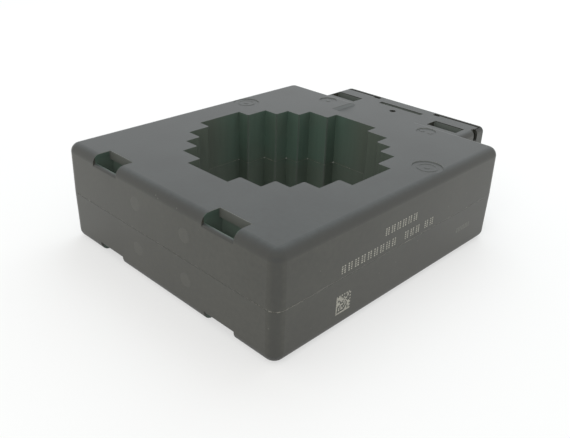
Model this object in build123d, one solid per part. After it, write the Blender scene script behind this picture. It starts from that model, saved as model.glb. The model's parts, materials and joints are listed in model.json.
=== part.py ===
from build123d import *
import os
from math import cos, radians, sin, sqrt, tan

# Window-type current transformer in a moulded case, in millimetres.
# It lies flat on its rear face. Z runs through the window, X from the foot side to the terminal side,
# and the origin is the window's centre on the rear face.

# Case
block_height = 40.0       # Z, face to face
end_room = 5.4            # the case is longer than wide by this at each end
window_shift = 0.4        # the window sits this much nearer the terminal side
draft_angle = 0.8         # each half grows from its face to the seam
corner_radius = 4.3       # upright corners
face_edge_radius = 3.6    # edges round the two faces
wall = 2.2                # outer walls and faces
seam_bevel = 0.2          # small bevel along the seam

# Stepped window: half sizes of the bars that pass it, widest first
bar_wide = (40.75, 10.8)
bar_middle = (34.9, 21.1)
bar_square = 28.0
window_wall = 1.8
tip_round = 0.8           # rounding of the teeth between two steps

# Tongue and groove along the seam
tongue_inset = 0.75       # from the outer face
tongue_width = 0.7
tongue_height = 1.0
tongue_play = 0.1

# Posts and ribs in the corners
post_radius = 3.5
post_inset = 10.0         # from the outer faces to the post's centre
peg_radius = 1.5
peg_height = 4.0
peg_play = 0.1
socket_spare = 0.5        # socket deeper than the peg is long
rib = 1.5

# Foot pockets, two in each face on the foot side, for snap-in brackets
pocket_centre = 31.1
pocket_length = 14.8
pocket_depth = 12.0
pocket_lip = 1.3          # wall left outside the pocket
pocket_width = 6.3
pocket_notch = 3.3        # how far the lip stands below the face
lip_round = 0.9
catch_depth = 3.5         # the catch edge lies this far below the face
catch_step = 0.8
pocket_wall = 1.5

# Wound ring
ring_depth = 9.0          # from its inner to its outer radius
ring_clearance = 0.6      # to the window wall's corners and to the outer wall
pad_thickness = 1.0
pad_angle = 30.0          # arc that each foam pad covers
pad_share = 0.6           # of the ring's depth
tape = 0.3
wire_layer = 0.9
cap_wall = 0.8
lay_play = 0.05           # between caps, winding and tape
cap_play = 0.1            # between the steel ring and its caps
cap_gap = 1.0             # between the two caps at mid height
spacer_width = 16.0
spacer_play = 0.1
spacer_inset = 4.0        # from the ring's two ends

# Terminal box
terminal_reach = 18.5     # out from the case
terminal_end_wall = 4.2   # beyond the wire channels
terminal_step = 1.2       # its faces lie this far inside the case's faces
wide_round = 5.4          # one edge of each end of the box; halves and covers turn over,
tight_round = 2.2         # so the wide edge is on the front at one end and on the rear at the other
terminal_edge_round = 0.25
terminal_centre = 27.5    # each terminal's place across the box
channel_start = 2.5       # wire channel, from the case's side
channel_depth = 6.7
channel_length = 14.2
slot_start = 10.3         # accessory slot between the terminals
slot_width = 2.4
slot_half_length = 11.5
pilot_start = 5.4         # pilot hole for a seal screw
pilot_radius = 1.4
pilot_depth = 10.0
pry_length = 3.2          # screwdriver slot behind each cover's free end
pry_width = 1.0
pry_depth = 1.8
hollow_wall = 1.8         # walls round the hollows between the terminals

# Terminal fittings
bar_thickness = 3.0
bar_height = 15.0
bar_inset = 0.8           # shorter than the channel at each end
bar_play = 0.1            # brass bar in its pocket
tail_thickness = 0.8
tail_width = 3.0
tail_rise = 3.5           # middle of the tail above the seam
tail_foot = 3.0           # bent end that the lead meets
screw_radius = 2.5
screw_length = 14.0
screw_tip_bevel = 0.6
head_radius = 4.2
head_height = 3.2
head_bevel = 0.5
drive_width = 1.2
drive_depth = 1.8
drive_half_length = 2.5   # of the short cross slot
clamp_thickness = 1.4
clamp_height = 11.0
clamp_play = 0.3
clamp_round = 1.0
grip_width = 0.7
grip_pitch = 1.6
wire_room = 5.0           # between bar and clamp with the screw backed out
screw_travel = 4.0        # clamp travel from open to tight
washer_thickness = 1.2
washer_radius = 4.1
washer_split = 0.8
bar_bore_play = 0.05
clamp_bore_play = 0.25
bore_play = 0.5           # screw head in its access bore
well_play = 0.6           # screw tip in its well
well_wall = 1.5

# Leads
lead_radius = 0.9
lead_wall_gap = 1.6       # tail and lead to the inside of the case's terminal wall
lead_slope = 1.4          # rise across the box for each step towards the terminals
lead_start_angle = 2.5
lead_gap = 0.05           # lead's end to the tape
sleeve_wall = 0.4
sleeve_play = 0.1
sleeve_length = 6.0
sleeve_lap = 2.4          # of the sleeve over the tail's foot

# Covers
cover_thickness = 1.2
cover_gap = 1.2           # cover to the box behind it
cover_lead = 5.4          # the cover's recess starts this far before the wire channel
cover_end_gap = 0.2       # cover's free end to the recess
cover_edge_round = 0.3
hinge_back = 6.9          # hinge axis from the box's outer face
hood_start = 1.9          # cover's end wall, from the hinge axis
leg_inset = 5.9           # hinge leg's ends from the box's faces
leg_play = 0.3
ear_thickness = 1.2       # ears of the box that hold the trunnions
ear_half_width = 1.3
ear_opening = 0.65        # half of the snap-in opening
slit_depth = 1.9          # slit beside each ear, in from the box's end
trunnion_radius = 0.8
trunnion_play = 0.1
snap_reach = 3.6          # snap tongues behind the cover
snap_thickness = 1.1
snap_width = 4.0
snap_inset = 1.4          # from the cover's free end
snap_spread = 10.0        # from the seam
snap_swing_room = 1.1     # room for the tongue's arc as the cover opens

# Marks on the front face
mark_depth = 0.3
mark_inset = 8.1          # from the case's nearest side to the centre of a round mark
large_mark_radius = 5.75
large_mark_place = 22.3   # from the middle towards the terminals
small_mark_radius = 4.1
small_mark_place = 27.0   # from the middle, to each side
plate_reach = 15.0        # bare plate field, in from the terminal side and level with the box
plate_half_length = 16.4
plate_slope = 45.0        # of its walls, from upright

past = 1.0                # cuts run this far past a face, and joined forms this far into each other

# Places that follow from the sizes above
seam = block_height / 2
drift = seam * tan(radians(draft_angle))
root = wall / 2
steps = [bar_wide, bar_middle, (bar_square, bar_square), bar_middle[::-1], bar_wide[::-1]]
tube_reach = max(sqrt((a + window_wall) ** 2 + (b + window_wall) ** 2) for a, b in steps)
ring_inner = tube_reach + ring_clearance
ring_outer = ring_inner + ring_depth
block_width = 2 * (ring_outer + ring_clearance + wall)
block_length = block_width + 2 * end_room
side_x = block_length / 2 - window_shift
foot_x = -block_length / 2 - window_shift
inner_x = side_x - wall
outer_x = side_x + terminal_reach
box_floor = terminal_step + hollow_wall
ring_low = wall + pad_thickness
ring_high = block_height - ring_low
channel_low = side_x + channel_start
channel_high = channel_low + channel_depth
channel_y_low = terminal_centre - channel_length / 2
channel_y_high = terminal_centre + channel_length / 2
terminal_half_length = channel_y_high + terminal_end_wall
recess_start = channel_y_low - cover_lead
bar_low = channel_low - bar_thickness
bar_y_low = channel_y_low + bar_inset
bar_y_high = channel_y_high - bar_inset
tail_x = inner_x - lead_wall_gap - tail_thickness
tail_z = seam + tail_rise
clamp_low = channel_low + wire_room
clamp_high = clamp_low + clamp_thickness
head_low = clamp_high + washer_thickness
screw_tip = head_low - screw_length
well_radius = screw_radius + well_play
well_end = screw_tip - screw_travel - well_play
box_face_x = outer_x - cover_thickness - cover_gap
hinge_x = outer_x - hinge_back
hinge_y = terminal_half_length - cover_thickness
hood_x = hinge_x + hood_start
leg_low = terminal_step + leg_inset
leg_high = block_height - leg_low
leg_room = leg_low - leg_play
ear_low = leg_room - ear_thickness
cover_start = recess_start + cover_end_gap
snap_y = cover_start + snap_inset


def span(low, high):
    """Box between two opposite corners."""
    size = [b - a for a, b in zip(low, high)]
    middle = [(a + b) / 2 for a, b in zip(low, high)]
    return Pos(*middle) * Box(*size)


def rod_x(radius, x_low, x_high, y=terminal_centre, z=seam):
    """Cylinder along X."""
    return Pos((x_low + x_high) / 2, y, z) * Rot(0, 90, 0) * Cylinder(radius, x_high - x_low)


def rod_z(radius, z_low, z_high, x=0, y=0):
    """Cylinder along Z."""
    return Pos(x, y, (z_low + z_high) / 2) * Cylinder(radius, z_high - z_low)


def both_sides(part):
    """The part and its mirror image across the X axis."""
    return part + mirror(part, Plane.XZ)


def turned_over(part):
    """The part turned half round about the X axis at the seam, from the rear half to the front half."""
    return Pos(0, 0, block_height) * Rot(180, 0, 0) * part


def stepped_outline(grow=0.0, tip=0.0):
    """The window's staircase outline, grown outwards, with its teeth rounded."""
    outline = Sketch()
    for a, b in steps:
        outline += Rectangle(2 * (a + grow), 2 * (b + grow))
    if tip:
        teeth = [(steps[i + 1][0] + grow, steps[i][1] + grow) for i in range(len(steps) - 1)]
        corners = [
            v for v in outline.vertices()
            if any(abs(abs(v.X) - a) + abs(abs(v.Y) - b) < 0.01 for a, b in teeth)
        ]
        outline = fillet(corners, radius=tip)
    return outline


def case_outline(inset, radius):
    """The case's outline at the seam, set in from the outer face."""
    length = block_length + 2 * drift - 2 * inset
    width = block_width + 2 * drift - 2 * inset
    return Pos(-window_shift, 0) * RectangleRounded(length, width, radius)


def case_block():
    """Solid half of the case, from its rounded face at z = 0 to the seam, tapering to the face."""
    low = seam - seam_bevel
    outline = Pos(0, 0, low) * case_outline(0, corner_radius)
    block = extrude(outline, amount=-low, taper=draft_angle)
    block = fillet(block.faces().sort_by(Axis.Z)[0].edges(), face_edge_radius)
    return block + extrude(outline, amount=seam_bevel, taper=45)


def case_cavity():
    """Hollow of one half, with the same taper, one wall further in."""
    outline = Pos(0, 0, seam) * case_outline(wall, corner_radius - wall / 2)
    cavity = extrude(outline, amount=wall - seam, taper=draft_angle)
    return chamfer(cavity.faces().sort_by(Axis.Z)[0].edges(), face_edge_radius - wall)


def terminal_block():
    """Solid half of the terminal box, with one end rounded wide and the other tight."""
    low = (inner_x - wall, -terminal_half_length, terminal_step)
    block = span(low, (outer_x, terminal_half_length, seam))
    for place, radius in ((0, wide_round), (-1, tight_round)):
        edge = block.edges().filter_by(Axis.X).group_by(Axis.Z)[0].sort_by(Axis.Y)[place]
        block = fillet(edge, radius)
    outer_edge = block.edges().filter_by(Axis.Y).group_by(Axis.Z)[0].sort_by(Axis.X)[-1]
    return fillet(outer_edge, terminal_edge_round)


def post_places():
    """Centres of the four corner posts."""
    x_far = block_length / 2 - post_inset
    y_far = block_width / 2 - post_inset
    return [(sx * x_far - window_shift, sy * y_far) for sx in (-1, 1) for sy in (-1, 1)]


def corner_post(x, y):
    """Post with ribs to the two walls and one towards the wound ring."""
    sx, sy = (1 if x > 0 else -1), (1 if y > 0 else -1)
    wall_x, wall_y = x + sx * post_inset, y + sy * post_inset
    post = rod_z(post_radius, root, seam, x, y)
    post += span((min(x, wall_x), y - rib / 2, root), (max(x, wall_x), y + rib / 2, seam))
    post += span((x - rib / 2, min(y, wall_y), root), (x + rib / 2, max(y, wall_y), seam))
    reach = sqrt(x * x + y * y)
    length = reach - ring_outer - ring_clearance / 2
    outward = Vector(x, y, 0).normalized()
    middle = outward * (reach - length / 2)
    plane = Plane(origin=(middle.X, middle.Y, (seam + root) / 2), x_dir=outward, z_dir=(0, 0, 1))
    return post + plane * Box(length, rib, seam - root)


def corner_pegs():
    """Pegs on the rear half's posts."""
    return [rod_z(peg_radius, seam - past, seam + peg_height, x, y) for x, y in post_places()]


def corner_sockets():
    """Sockets for the pegs in the front half's posts."""
    depth = peg_height + socket_spare
    return [rod_z(peg_radius + peg_play, seam - depth, seam + past, x, y) for x, y in post_places()]


def foot_pocket_box():
    """Walls round the two bracket pockets in one face."""
    y_low, y_high = pocket_centre - pocket_length / 2, pocket_centre + pocket_length / 2
    back = foot_x + pocket_lip + pocket_width + catch_step + pocket_wall
    low = (foot_x, y_low - pocket_wall, root)
    return both_sides(span(low, (back, y_high + pocket_wall, pocket_depth + pocket_wall)))


def foot_pocket_cut():
    """The two bracket pockets, each with its low outer lip and a catch edge on its inner wall."""
    y_low, y_high = pocket_centre - pocket_length / 2, pocket_centre + pocket_length / 2
    out = foot_x + pocket_lip
    back = out + pocket_width
    cut = span((out, y_low, -past), (back, y_high, pocket_depth))
    cut += span((foot_x - wall, y_low, -past), (back, y_high, pocket_notch))
    cut += span((back - past, y_low, catch_depth), (back + catch_step, y_high, pocket_depth))
    corner = span((foot_x - wall, y_low, 0), (foot_x + lip_round, y_high, pocket_notch + lip_round))
    round_bar = Rot(90, 0, 0) * Cylinder(lip_round, 2 * pocket_length)
    cut += corner - Pos(foot_x + lip_round, pocket_centre, pocket_notch + lip_round) * round_bar
    return both_sides(cut)


def terminal_wells():
    """Bosses inside the case round the screw tips."""
    return both_sides(rod_x(well_radius + well_wall, well_end - well_wall, inner_x + past))


def terminal_cut():
    """Wire channel, bar pocket, screw well and access bore of both terminals in one half."""
    cut = span((channel_low, channel_y_low, 0), (channel_high, channel_y_high, seam + past))
    cut += span(
        (bar_low, bar_y_low - bar_play, seam - bar_height / 2 - bar_play),
        (channel_low + past, bar_y_high + bar_play, seam + past),
    )
    cut += rod_x(well_radius, well_end, channel_low)
    cut += rod_x(head_radius + bore_play, channel_high - past, outer_x + past)
    return both_sides(cut)


def pry_slots():
    """Slots in the box's face where a screwdriver lifts the covers' free ends."""
    low = (box_face_x - pry_width, recess_start, 0)
    return both_sides(span(low, (outer_x, recess_start + pry_length, terminal_step + pry_depth)))


def cover_room():
    """What the two covers, their hinges and their snap tongues take out of one half of the box."""
    end, top = terminal_half_length + past, seam + past
    room = span((box_face_x, recess_start, 0), (outer_x + past, end, top))
    room += span((hinge_x + ear_half_width, hinge_y - leg_play, 0), (outer_x, end, top))
    turn_radius = cover_thickness + leg_play
    room += span((hinge_x - turn_radius, hinge_y - leg_play, leg_room), (outer_x, end, top))
    room += rod_z(turn_radius, leg_room, top, hinge_x, hinge_y)
    seat = trunnion_radius + trunnion_play
    room += rod_z(seat, 0, leg_low, hinge_x, hinge_y)
    room += span((hinge_x - ear_opening, hinge_y, 0), (hinge_x + ear_opening, end, leg_low))
    slit_start = terminal_half_length - slit_depth
    room += span((hinge_x - seat, slit_start, 0), (hinge_x + ear_half_width, end, ear_low))
    z = seam - snap_spread
    half = snap_width / 2 + leg_play
    room += span(
        (box_face_x - snap_reach - leg_play, snap_y - cover_end_gap, z - half),
        (outer_x, snap_y + snap_thickness + snap_swing_room, z + half),
    )
    return both_sides(room)


def centre_cuts():
    """Accessory slot, pilot hole and the hollows between the terminals."""
    slot_x = side_x + slot_start
    slot_low = (slot_x, -slot_half_length, 0)
    cut = span(slot_low, (slot_x + slot_width, slot_half_length, seam + past))
    cut += rod_z(pilot_radius, 0, terminal_step + pilot_depth, side_x + pilot_start, 0)
    hollow = span(
        (side_x + hollow_wall, pilot_radius + hollow_wall, box_floor),
        (slot_x - hollow_wall, channel_y_low - hollow_wall, seam + past),
    )
    return cut + both_sides(hollow)


def tail_passages():
    """Ways for the brass tails through the case's side wall, in the front half."""
    depth = tail_rise + tail_width / 2 + bar_play
    low = (inner_x - past, bar_y_low - bar_play, seam - depth)
    high = (bar_low + past, bar_y_low + tail_thickness + bar_play, seam + past)
    return both_sides(span(low, high))


def seam_band(inset, width, depth):
    """Band inside the outer wall at the seam, left out along the terminal box."""
    band = case_outline(inset, corner_radius - inset)
    band -= case_outline(inset + width, corner_radius - inset - width)
    kept = span((foot_x - wall, -block_width, 0), (inner_x - wall, block_width, block_height))
    return Pos(0, 0, seam - past) * extrude(band, amount=past + depth) & kept


def shell_half():
    """What both halves of the case share, with the face at z = 0 and the seam up."""
    case = case_block()
    inside = foot_pocket_box() + terminal_wells() + extrude(stepped_outline(window_wall), amount=seam)
    for x, y in post_places():
        inside += corner_post(x, y)
    body = case + terminal_block() - case_cavity() + (inside & case)
    for cut in (foot_pocket_cut(), terminal_cut(), pry_slots(), cover_room(), centre_cuts()):
        body -= cut
    window = extrude(stepped_outline(0, tip_round), amount=block_height)
    return body - Pos(0, 0, -past) * window


def rear_shell():
    """Rear half with the tongue and the pegs."""
    body = shell_half() + seam_band(tongue_inset, tongue_width, tongue_height)
    for peg in corner_pegs():
        body += peg
    return body


def front_shell():
    """Front half with the groove, the sockets and the marks on its face."""
    inset, width = tongue_inset - tongue_play, tongue_width + 2 * tongue_play
    groove = mirror(seam_band(inset, width, tongue_height + tongue_play), Plane.XY.offset(seam))
    body = shell_half() - groove - tail_passages() - face_marks()
    for socket in corner_sockets():
        body -= socket
    return turned_over(body)


def face_marks():
    """Shallow round marks and the bare plate field, which runs out onto the terminal box."""
    floor = Rectangle(plate_reach + past, 2 * plate_half_length)
    place = Pos(side_x + (past - plate_reach) / 2, 0, terminal_step)
    marks = extrude(place * floor, amount=-terminal_step - past, taper=-plate_slope)
    large_y = block_width / 2 - mark_inset
    marks += both_sides(rod_z(large_mark_radius, -past, mark_depth, large_mark_place, large_y))
    small_x = side_x - mark_inset
    return marks + both_sides(rod_z(small_mark_radius, -past, mark_depth, small_x, small_mark_place))


def ring(inner, outer, low, high):
    """Ring about the window's axis."""
    return rod_z(outer, low, high) - rod_z(inner, low - past, high + past)


def hollow_ring(inset, thickness):
    """Closed ring skin of one thickness, set in from the wound ring's outside."""
    sizes = (ring_inner + inset, ring_outer - inset, ring_low + inset, ring_high - inset)
    inner, outer, low, high = sizes
    core = ring(inner + thickness, outer - thickness, low + thickness, high - thickness)
    return ring(inner, outer, low, high) - core


def winding_tape():
    """Tape wrapped over the winding."""
    return hollow_ring(0, tape)


def secondary_winding():
    """Layer of enamelled wire round the capped ring."""
    return hollow_ring(tape + lay_play, wire_layer)


def core_cap_rear():
    """Channel-shaped insulating cap over the rear half of the steel ring."""
    cap = hollow_ring(tape + wire_layer + 2 * lay_play, cap_wall)
    return cap & rod_z(ring_outer, 0, seam - cap_gap / 2)


def core_cap_front():
    return turned_over(core_cap_rear())


def core_ring():
    """Strip-wound steel ring."""
    inset = tape + wire_layer + 2 * lay_play + cap_wall + cap_play
    return ring(ring_inner + inset, ring_outer - inset, ring_low + inset, ring_high - inset)


def rear_pads():
    """Four foam pads under the wound ring, on the diagonals."""
    middle = (ring_inner + ring_outer) / 2
    half = (ring_outer - ring_inner) * pad_share / 2
    arc = rod_z(middle + half, wall, ring_low) - rod_z(middle - half, 0, block_height)
    reach = 2 * ring_outer
    side = reach * tan(radians(pad_angle / 2))
    outline = Polyline((0, 0), (reach, -side), (reach, side), close=True)
    fan = extrude(make_face(outline), amount=block_height)
    pad = arc & fan
    return Part() + [Rot(0, 0, turn) * pad for turn in (45, 135, 225, 315)]


def front_pads():
    return turned_over(rear_pads())


def ring_spacers():
    """Blocks between the window wall's four flats and the wound ring."""
    flat = bar_wide[0] + window_wall
    low = (flat, -spacer_width / 2, ring_low + spacer_inset)
    block = span(low, (ring_inner + past, spacer_width / 2, ring_high - spacer_inset))
    block &= rod_z(ring_inner - spacer_play, 0, block_height)
    return Part() + [Rot(0, 0, turn) * block for turn in (0, 90, 180, 270)]


def terminal_bar():
    """Brass bar with its threaded hole and the bent tail that meets the lead."""
    low = (bar_low, bar_y_low, seam - bar_height / 2)
    bar = span(low, (channel_low, bar_y_high, seam + bar_height / 2))
    bar -= rod_x(screw_radius + bar_bore_play, bar_low - past, channel_low + past)
    z_low, z_high = tail_z - tail_width / 2, tail_z + tail_width / 2
    tail = span((tail_x, bar_y_low, z_low), (bar_low + past, bar_y_low + tail_thickness, z_high))
    low = (tail_x, bar_y_low - tail_foot, z_low)
    foot = span(low, (tail_x + tail_thickness, bar_y_low + tail_thickness, z_high))
    return bar + tail + foot


def wire_clamp():
    """Clamp plate with a grooved gripping face, drawn with the screw backed out."""
    y_low, y_high = channel_y_low + clamp_play, channel_y_high - clamp_play
    low = (clamp_low, y_low, seam - clamp_height / 2)
    plate = span(low, (clamp_high, y_high, seam + clamp_height / 2))
    plate = fillet(plate.edges().filter_by(Axis.X), clamp_round)
    groove = Rot(0, 0, 45) * Box(grip_width, grip_width, clamp_height + past)
    for y in (y_low + grip_pitch, y_low + 2 * grip_pitch, y_high - grip_pitch, y_high - 2 * grip_pitch):
        plate -= Pos(clamp_low, y, seam) * groove
    return plate - rod_x(screw_radius + clamp_bore_play, clamp_low - past, clamp_high + past)


def spring_washer():
    """Split washer between clamp and screw head."""
    washer = rod_x(washer_radius, clamp_high, head_low)
    washer -= rod_x(screw_radius + clamp_bore_play, clamp_high - past, head_low + past)
    low = (clamp_high - past, terminal_centre - washer_split / 2, seam)
    return washer - span(low, (head_low + past, terminal_centre + washer_split / 2, block_height))


def terminal_screw():
    """Screw with a cross-slotted cheese head; its thread is drawn plain."""
    top = head_low + head_height
    head = rod_x(head_radius, head_low, top)
    head = chamfer(head.faces().sort_by(Axis.X)[-1].edges(), head_bevel)
    y, half = terminal_centre, drive_width / 2
    head -= span((top - drive_depth, y - half, 0), (top + past, y + half, block_height))
    head -= span(
        (top - drive_depth, y - drive_half_length, seam - half),
        (top + past, y + drive_half_length, seam + half),
    )
    shank = rod_x(screw_radius, screw_tip, head_low)
    shank = chamfer(shank.faces().sort_by(Axis.X)[0].edges(), screw_tip_bevel)
    return head + shank


def lead():
    """Insulated lead from the wound ring to the terminal tail."""
    x_end, y_end = tail_x + tail_thickness / 2, bar_y_low - tail_foot
    out = ring_outer + lead_radius + lead_gap
    angle = radians(lead_start_angle)
    start = Vector(out * cos(angle), out * sin(angle), tail_z)
    across = x_end - start.X
    slope = Vector(across, across * lead_slope, 0)
    bend = start + slope
    turn = slope.get_angle(Vector(0, 1, 0))
    radius = 0.45 * min(slope.length, y_end - bend.Y) / tan(radians(turn / 2))
    path = FilletPolyline(start, bend, (x_end, y_end, tail_z), radius=radius)
    section = Plane(origin=start, z_dir=slope) * Circle(lead_radius)
    return sweep(section, path=path)


def joint_sleeve():
    """Sleeve over the joint of lead and tail."""
    inner = sqrt(tail_width ** 2 + tail_thickness ** 2) / 2 + sleeve_play
    tube = Cylinder(inner + sleeve_wall, sleeve_length) - Cylinder(inner, sleeve_length + past)
    y = bar_y_low - tail_foot + sleeve_lap - sleeve_length / 2
    return Pos(tail_x + tail_thickness / 2, y, tail_z) * Rot(90, 0, 0) * tube


def terminal_cover():
    """Flap with its end wall, hinge leg, trunnions and snap tongues."""
    high = block_height - terminal_step
    cover = span((hood_x, cover_start, terminal_step), (outer_x, terminal_half_length, high))
    for place, radius in ((0, tight_round), (-1, wide_round)):
        edge = cover.edges().filter_by(Axis.X).group_by(Axis.Y)[-1].sort_by(Axis.Z)[place]
        cover = fillet(edge, radius)
    cover = fillet(cover.faces().sort_by(Axis.X)[-1].edges(), cover_edge_round)
    inside = outer_x - cover_thickness
    cover -= span((hood_x - past, cover_start - past, 0), (inside, hinge_y, block_height))
    cover += span((hinge_x, hinge_y, leg_low), (hood_x + past, terminal_half_length, leg_high))
    cover += rod_z(cover_thickness, leg_low, leg_high, hinge_x, hinge_y)
    cover += rod_z(trunnion_radius, ear_low, block_height - ear_low, hinge_x, hinge_y)
    for z in (seam - snap_spread, seam + snap_spread):
        low = (box_face_x - snap_reach, snap_y, z - snap_width / 2)
        cover += span(low, (inside + cover_thickness / 2, snap_y + snap_thickness, z + snap_width / 2))
    return cover


case_parts = {
    "front_shell": front_shell,
    "rear_shell": rear_shell,
    "core_ring": core_ring,
    "core_cap_front": core_cap_front,
    "core_cap_rear": core_cap_rear,
    "secondary_winding": secondary_winding,
    "winding_tape": winding_tape,
    "front_pads": front_pads,
    "rear_pads": rear_pads,
    "ring_spacers": ring_spacers,
}
terminal_parts = {
    "terminal_bar": terminal_bar,
    "wire_clamp": wire_clamp,
    "spring_washer": spring_washer,
    "terminal_screw": terminal_screw,
    "lead": lead,
    "joint_sleeve": joint_sleeve,
}

os.makedirs("parts", exist_ok=True)
for name, make in case_parts.items():
    export_step(make(), f"parts/{name}.step")
for name, make in terminal_parts.items():
    first = make()
    export_step(first, f"parts/{name}_s1.step")
    export_step(mirror(first, Plane.XZ), f"parts/{name}_s2.step")
cover = terminal_cover()
export_step(cover, "parts/terminal_cover_s1.step")
export_step(turned_over(cover), "parts/terminal_cover_s2.step")
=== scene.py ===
import json
import math

import bmesh
import bpy
from mathutils import Matrix, Vector, noise


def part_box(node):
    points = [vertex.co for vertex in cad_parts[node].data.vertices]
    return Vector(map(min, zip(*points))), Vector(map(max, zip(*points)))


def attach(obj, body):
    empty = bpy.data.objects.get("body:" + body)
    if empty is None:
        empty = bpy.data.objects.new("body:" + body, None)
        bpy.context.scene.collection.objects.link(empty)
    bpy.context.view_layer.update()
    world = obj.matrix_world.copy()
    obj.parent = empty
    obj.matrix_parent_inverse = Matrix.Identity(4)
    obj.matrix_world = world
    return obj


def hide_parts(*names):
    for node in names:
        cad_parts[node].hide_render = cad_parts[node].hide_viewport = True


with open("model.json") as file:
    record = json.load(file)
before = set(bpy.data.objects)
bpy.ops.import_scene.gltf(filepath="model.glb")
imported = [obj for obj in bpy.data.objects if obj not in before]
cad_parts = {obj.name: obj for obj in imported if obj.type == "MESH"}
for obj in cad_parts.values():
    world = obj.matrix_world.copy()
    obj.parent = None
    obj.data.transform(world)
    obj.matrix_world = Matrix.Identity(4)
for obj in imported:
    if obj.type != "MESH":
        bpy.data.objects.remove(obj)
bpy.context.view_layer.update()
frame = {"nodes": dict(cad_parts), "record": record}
nodes = frame["nodes"]
mm = 0.001
noiseMean = 0.5
print("frame loaded,", len(nodes), "nodes")


# A socket that can stand in a sum
class Wire:
    def __init__(self, finish, socket):
        self.finish = finish
        self.socket = socket

    def __add__(self, other):
        return self.finish.maths("ADD", self, other)

    def __radd__(self, other):
        return self.finish.maths("ADD", other, self)

    def __sub__(self, other):
        return self.finish.maths("SUBTRACT", self, other)

    def __rsub__(self, other):
        return self.finish.maths("SUBTRACT", other, self)

    def __mul__(self, other):
        return self.finish.maths("MULTIPLY", self, other)

    def __rmul__(self, other):
        return self.finish.maths("MULTIPLY", other, self)

    def __truediv__(self, other):
        return self.finish.maths("DIVIDE", self, other)

    def __rtruediv__(self, other):
        return self.finish.maths("DIVIDE", other, self)

    def __lt__(self, other):
        return self.finish.maths("LESS_THAN", self, other)

    def __gt__(self, other):
        return self.finish.maths("GREATER_THAN", self, other)

    def __abs__(self):
        return self.finish.maths("ABSOLUTE", self)


def setStops(ramp, stops):
    while len(ramp.elements) < len(stops):
        ramp.elements.new(1)
    for element, (place, level) in zip(ramp.elements, stops):
        element.position = place
        element.color = (level, level, level, 1)


# One material or the world; node() makes any node from its type, settings and socket values
class Finish:
    def __init__(self, owner):
        owner.use_nodes = True
        self.owner = owner
        self.tree = owner.node_tree
        self.tree.nodes.clear()

    def node(self, kind, settings=None, values=None):
        made = self.tree.nodes.new(kind)
        for name, setting in (settings or {}).items():
            if name == "stops":
                setStops(made.color_ramp, setting)
            else:
                setattr(made, name, setting)
        for name, value in (values or {}).items():
            if isinstance(value, Wire):
                self.tree.links.new(value.socket, made.inputs[name])
            else:
                made.inputs[name].default_value = value
        return made

    def value(self, kind, settings=None, values=None, output=0):
        return Wire(self, self.node(kind, settings, values).outputs[output])

    def maths(self, operation, *terms):
        return self.value("ShaderNodeMath", {"operation": operation}, dict(enumerate(terms)))

    def vectorMaths(self, operation, *terms, output="Vector"):
        settings = {"operation": operation}
        return self.value("ShaderNodeVectorMath", settings, dict(enumerate(terms)), output)

    def mixed(self, factor, first, second, how="MIX"):
        settings = {"data_type": "RGBA", "blend_type": how}
        return self.value("ShaderNodeMix", settings, {0: factor, 6: first, 7: second}, 2)

    def ramp(self, source, stops):
        return self.value("ShaderNodeValToRGB", {"stops": stops}, {0: source})

    # Colour made darker or lighter by the levels of a ramp
    def shaded(self, colour, source, stops):
        return self.mixed(1, colour, self.ramp(source, stops), "MULTIPLY")

    def objectPlace(self):
        return self.value("ShaderNodeTexCoord", output="Object")

    def facing(self):
        return self.value("ShaderNodeTexCoord", output="Normal")

    def parts(self, vector):
        split = self.node("ShaderNodeSeparateXYZ", values={0: vector})
        return [Wire(self, socket) for socket in split.outputs]

    # Noise round noiseMean, with its cells about one size across
    def cloud(self, place, size, detail=2.0, roughness=0.5):
        values = {"Vector": place, "Scale": 1 / size, "Detail": detail, "Roughness": roughness}
        return self.value("ShaderNodeTexNoise", values=values)

    def stretched(self, place, scale):
        return self.vectorMaths("MULTIPLY", place, scale)

    # Distance from the upright line through the origin
    def reach(self, place):
        return self.vectorMaths("LENGTH", self.stretched(place, (1, 1, 0)), output="Value")

    def distance(self, place, point):
        return self.vectorMaths("DISTANCE", place, point, output="Value")

    # Bump from a height in metres
    def bump(self, height, strength):
        values = {"Height": height, "Distance": 1, "Strength": strength}
        return self.value("ShaderNodeBump", values=values, output="Normal")

    # 1 for what the camera sees directly, in a mirror or through glass
    def inView(self):
        light = self.node("ShaderNodeLightPath")
        seen, mirrored, through = [
            Wire(self, light.outputs[name])
            for name in ("Is Camera Ray", "Is Glossy Ray", "Is Transmission Ray")
        ]
        return self.maths("MAXIMUM", seen, mirrored + through)

    def close(self, shader, output="ShaderNodeOutputMaterial"):
        self.node(output, values={"Surface": shader})
        return self.owner

    def surface(self, **sockets):
        names = {name.replace("_", " "): value for name, value in sockets.items()}
        return self.close(self.value("ShaderNodeBsdfPrincipled", values=names))


# Screen colour, 0 to 255, to the linear colour that shaders use
def screen(red, green, blue):
    levels = [value / 255 for value in (red, green, blue)]
    return tuple(v / 12.92 if v <= 0.04045 else ((v + 0.055) / 1.055) ** 2.4 for v in levels) + (1,)


# Same scatter each run, 0 to 1, from a sine
def scatter(index, seed):
    value = math.sin(index * 12.9898 + seed * 78.233) * 43758.5453
    return value - math.floor(value)


def newFinish(name):
    return Finish(bpy.data.materials.new(name))


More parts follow.
